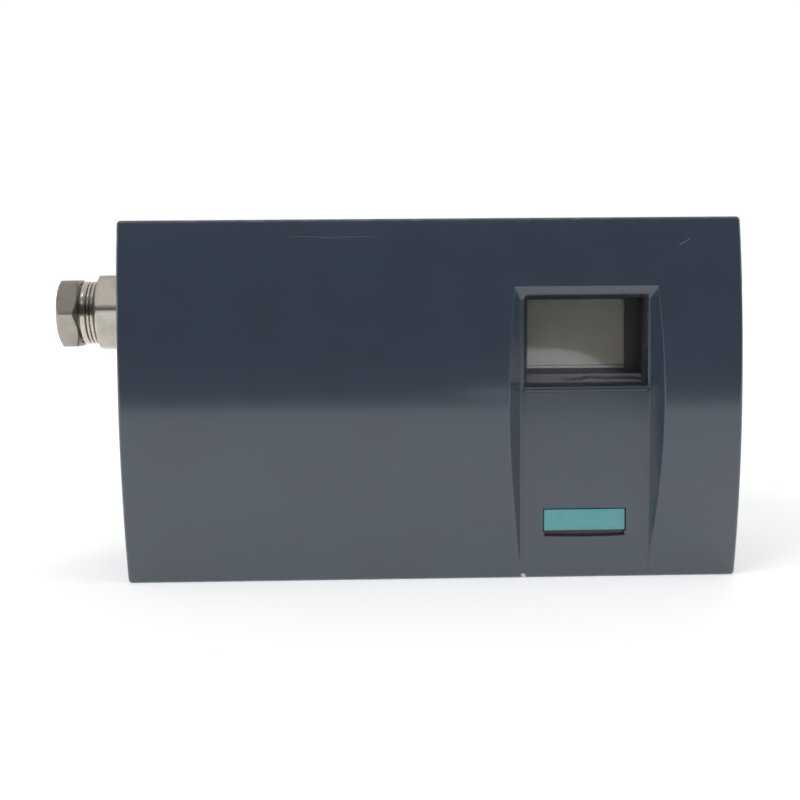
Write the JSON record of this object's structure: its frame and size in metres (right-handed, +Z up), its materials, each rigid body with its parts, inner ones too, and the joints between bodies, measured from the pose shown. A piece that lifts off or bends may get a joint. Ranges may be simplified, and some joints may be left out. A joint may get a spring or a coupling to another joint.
{
  "type": "valve positioner",
  "caption": "Electropneumatic valve positioner with an arched cover, display window, cable gland, air ports and rear feedback shaft.",
  "frame": {"origin": "middle of the flat rear mounting face of the base housing", "axes": "+Y out of the rear mounting face, along the feedback shaft; +X to the right seen from the front; +Z up; the front with the window faces -Y"},
  "size_m": [0.2153, 0.104, 0.109],
  "materials": {
    "slate_plastic": "satin moulded",
    "dark_plastic": "fine texture",
    "black_rubber": "matt",
    "clear_pane": "clear",
    "teal_paint": "satin",
    "nickel": "nickel plated",
    "steel": "zinc plated",
    "brass": "machined",
    "bronze": "sintered",
    "aluminium": "cast and machined",
    "pale_plastic": "moulded",
    "yellow_plastic": "moulded",
    "green_plastic": "moulded",
    "board_green": "lacquered board",
    "display_glass": "glossy"
  },
  "bodies": {
    "housing": {"base_housing": "slate_plastic", "housing_seal": "black_rubber", "cover_screw_1": "steel", "cover_screw_2": "steel", "cover_screw_3": "steel", "cover_screw_4": "steel", "mounting_insert_1": "brass", "mounting_insert_2": "brass", "mounting_insert_3": "brass", "mounting_insert_4": "brass", "gland_body": "nickel", "gland_nut": "nickel", "gland_seal": "black_rubber", "gland_washer": "black_rubber", "gland_locknut": "nickel", "blanking_plug": "nickel", "plug_washer": "black_rubber", "plug_locknut": "nickel", "earth_plate": "steel", "earth_screw": "steel", "pneumatic_block": "aluminium", "block_gasket": "black_rubber", "exhaust_silencer": "bronze", "valve_manifold": "pale_plastic", "manifold_gasket": "black_rubber", "pilot_valve_upper": "dark_plastic", "pilot_valve_lower": "dark_plastic", "pressure_regulator": "brass", "gear_carrier": "pale_plastic", "main_board": "board_green", "terminal_block_upper": "green_plastic", "terminal_block_lower": "green_plastic", "module_cover": "dark_plastic", "module_screw_1": "steel", "module_screw_2": "steel", "module_screw_3": "steel", "module_screw_4": "steel", "display_glass": "display_glass", "display_board": "board_green", "shaft_bush": "bronze", "potentiometer": "dark_plastic"},
    "cover": {"cover_shell": "slate_plastic", "name_plate": "teal_paint", "window_pane": "clear_pane", "window_frame": "dark_plastic"},
    "shaft": {"feedback_shaft": "steel", "shaft_clip": "steel", "drive_gear": "pale_plastic", "clutch_wheel": "dark_plastic", "clutch_spring": "steel", "clutch_nut": "brass"},
    "pinion": {"pot_pinion": "pale_plastic"},
    "selector": {"ratio_selector": "yellow_plastic"},
    "throttle_upper": {"restrictor_upper": "brass"},
    "throttle_lower": {"restrictor_lower": "brass"},
    "key_left": {"key_1": "black_rubber"},
    "key_middle": {"key_2": "black_rubber"},
    "key_right": {"key_3": "black_rubber"}
  },
  "joints": [
    {"name": "cover_lift", "type": "slide", "parent": "housing", "child": "cover", "axis": [0, -1, 0], "range_m": [0, 0.08]},
    {"name": "shaft_turn", "type": "hinge", "parent": "housing", "child": "shaft", "pos_m": [-0.02, 0, 0], "axis": [0, 1, 0], "range_deg": [-50, 50]},
    {"name": "pot_pinion_turn", "type": "hinge", "parent": "housing", "child": "pinion", "pos_m": [-0.02, 0, -0.024], "axis": [0, 1, 0], "range_deg": [-151, 151]},
    {"name": "ratio_slide", "type": "slide", "parent": "housing", "child": "selector", "axis": [1, 0, 0], "range_m": [0, 0.004]},
    {"name": "throttle_upper_turn", "type": "hinge", "parent": "housing", "child": "throttle_upper", "pos_m": [0.0925, -0.0145, 0.014], "axis": [1, 0, 0], "range_deg": [0, 720]},
    {"name": "throttle_lower_turn", "type": "hinge", "parent": "housing", "child": "throttle_lower", "pos_m": [0.0925, -0.0145, -0.014], "axis": [1, 0, 0], "range_deg": [0, 720]},
    {"name": "key_left_press", "type": "slide", "parent": "housing", "child": "key_left", "axis": [0, 1, 0], "range_m": [0, 0.0012], "stiffness_N_per_m": 300},
    {"name": "key_middle_press", "type": "slide", "parent": "housing", "child": "key_middle", "axis": [0, 1, 0], "range_m": [0, 0.0012], "stiffness_N_per_m": 300},
    {"name": "key_right_press", "type": "slide", "parent": "housing", "child": "key_right", "axis": [0, 1, 0], "range_m": [0, 0.0012], "stiffness_N_per_m": 300}
  ],
  "couplings": [
    {"joint": "pot_pinion_turn", "follows": "shaft_turn", "ratio": -3}
  ]
}
